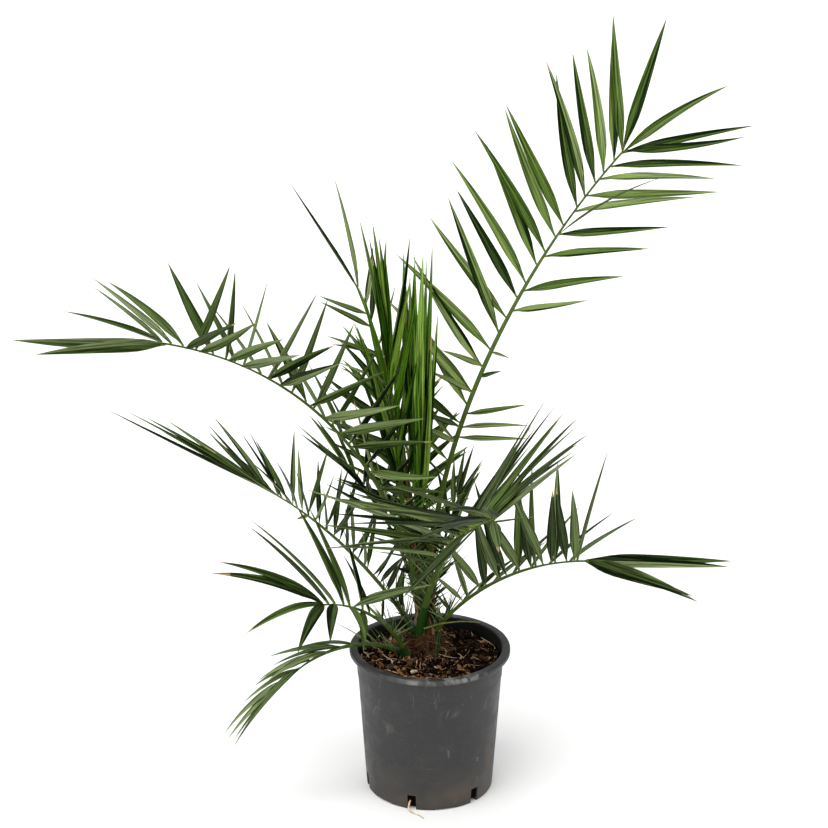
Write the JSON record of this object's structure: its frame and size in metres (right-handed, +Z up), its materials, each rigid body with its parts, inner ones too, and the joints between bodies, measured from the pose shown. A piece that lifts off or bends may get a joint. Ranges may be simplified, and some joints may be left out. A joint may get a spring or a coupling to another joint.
{
  "type": "potted date palm",
  "caption": "Young date palm: arching feather fronds on bare stalks rise from a fibrous base in a tapered round nursery pot filled with potting mix.",
  "frame": {"origin": "centre of the pot's flat underside", "axes": "+Z up; -Y towards the side with the low frond that drapes over the rim and the front frond; +X towards the tallest frond"},
  "size_m": [0.9422, 0.7471, 1.0089],
  "materials": {
    "pot": "moulded dark grey plastic, semi-matt, scuffed",
    "potting_mix": "coarse dark brown bark and peat",
    "base_fibre": "matted reddish-brown fibre",
    "stalk": "smooth olive green stalk, satin",
    "leaf_old": "leathery dark olive leaf with a grey-green underside",
    "leaf_mid": "leathery mid green leaf, satin",
    "leaf_young": "glossy vivid green young leaf"
  },
  "bodies": {
    "root": {"pot": "pot", "soil": "potting_mix", "crown_base": "base_fibre", "spear": "leaf_young", "tall_right_petiole": "stalk", "high_left_petiole": "stalk", "mid_left_petiole": "stalk", "low_left_petiole": "stalk", "low_right_petiole": "stalk", "front_petiole": "stalk", "draping_petiole": "stalk", "erect_left_petiole": "stalk", "centre_petiole": "stalk", "back_petiole": "stalk", "inner_left_petiole": "stalk", "inner_right_petiole": "stalk", "tall_right_blade_1": "leaf_mid", "tall_right_blade_2": "leaf_mid", "tall_right_blade_3": "leaf_mid", "high_left_blade_1": "leaf_old", "high_left_blade_2": "leaf_old", "high_left_blade_3": "leaf_old", "mid_left_blade_1": "leaf_old", "mid_left_blade_2": "leaf_old", "low_left_blade_1": "leaf_old", "low_left_blade_2": "leaf_old", "low_right_blade_1": "leaf_old", "low_right_blade_2": "leaf_old", "front_blade_1": "leaf_old", "front_blade_2": "leaf_old", "draping_blade_1": "leaf_old", "draping_blade_2": "leaf_old", "erect_left_blade_1": "leaf_mid", "erect_left_blade_2": "leaf_mid", "centre_blade_1": "leaf_young", "centre_blade_2": "leaf_young", "back_blade_1": "leaf_mid", "back_blade_2": "leaf_mid", "inner_left_blade_1": "leaf_old", "inner_right_blade_1": "leaf_old"}
  },
  "joints": []
}
